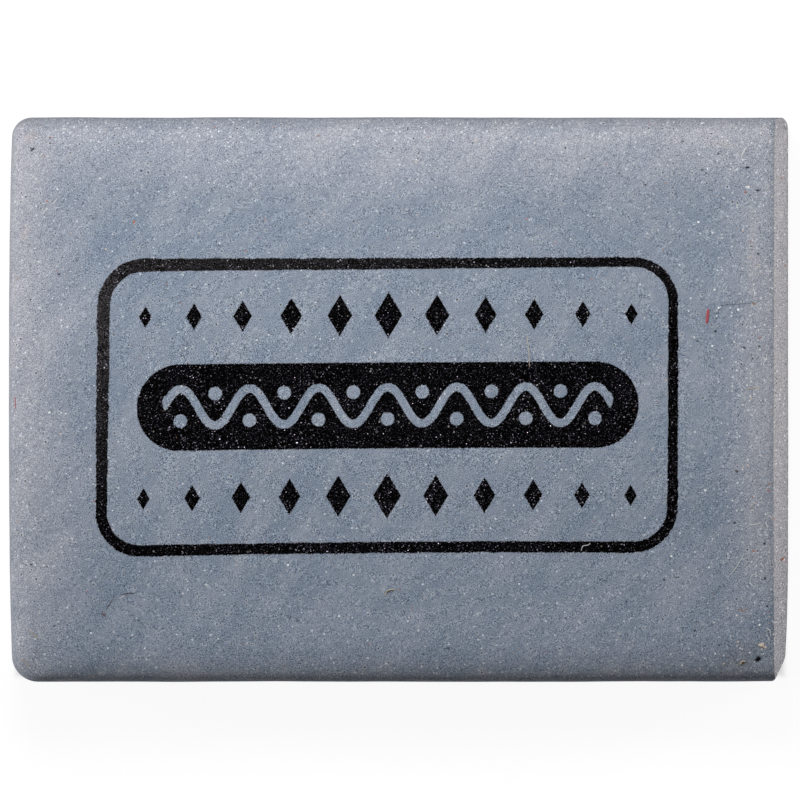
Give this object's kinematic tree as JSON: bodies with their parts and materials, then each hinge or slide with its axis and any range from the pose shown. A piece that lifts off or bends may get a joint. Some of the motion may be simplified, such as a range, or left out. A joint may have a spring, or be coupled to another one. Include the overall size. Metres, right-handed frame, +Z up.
{
  "type": "kneaded eraser",
  "caption": "Flat block of grey kneadable putty rubber with soft shoulders, a crowned printed face and one knife-trimmed end, for lifting pencil and charcoal.",
  "frame": {"origin": "middle of the flat underside, below the middle of the block's box", "axes": "+X along the block towards its knife-trimmed end, +Y across it towards the far long side, +Z up through the printed face"},
  "size_m": [0.05, 0.0362, 0.009],
  "materials": {
    "putty_rubber": "matte"
  },
  "bodies": {
    "root": {"eraser_block": "putty_rubber"}
  },
  "joints": []
}
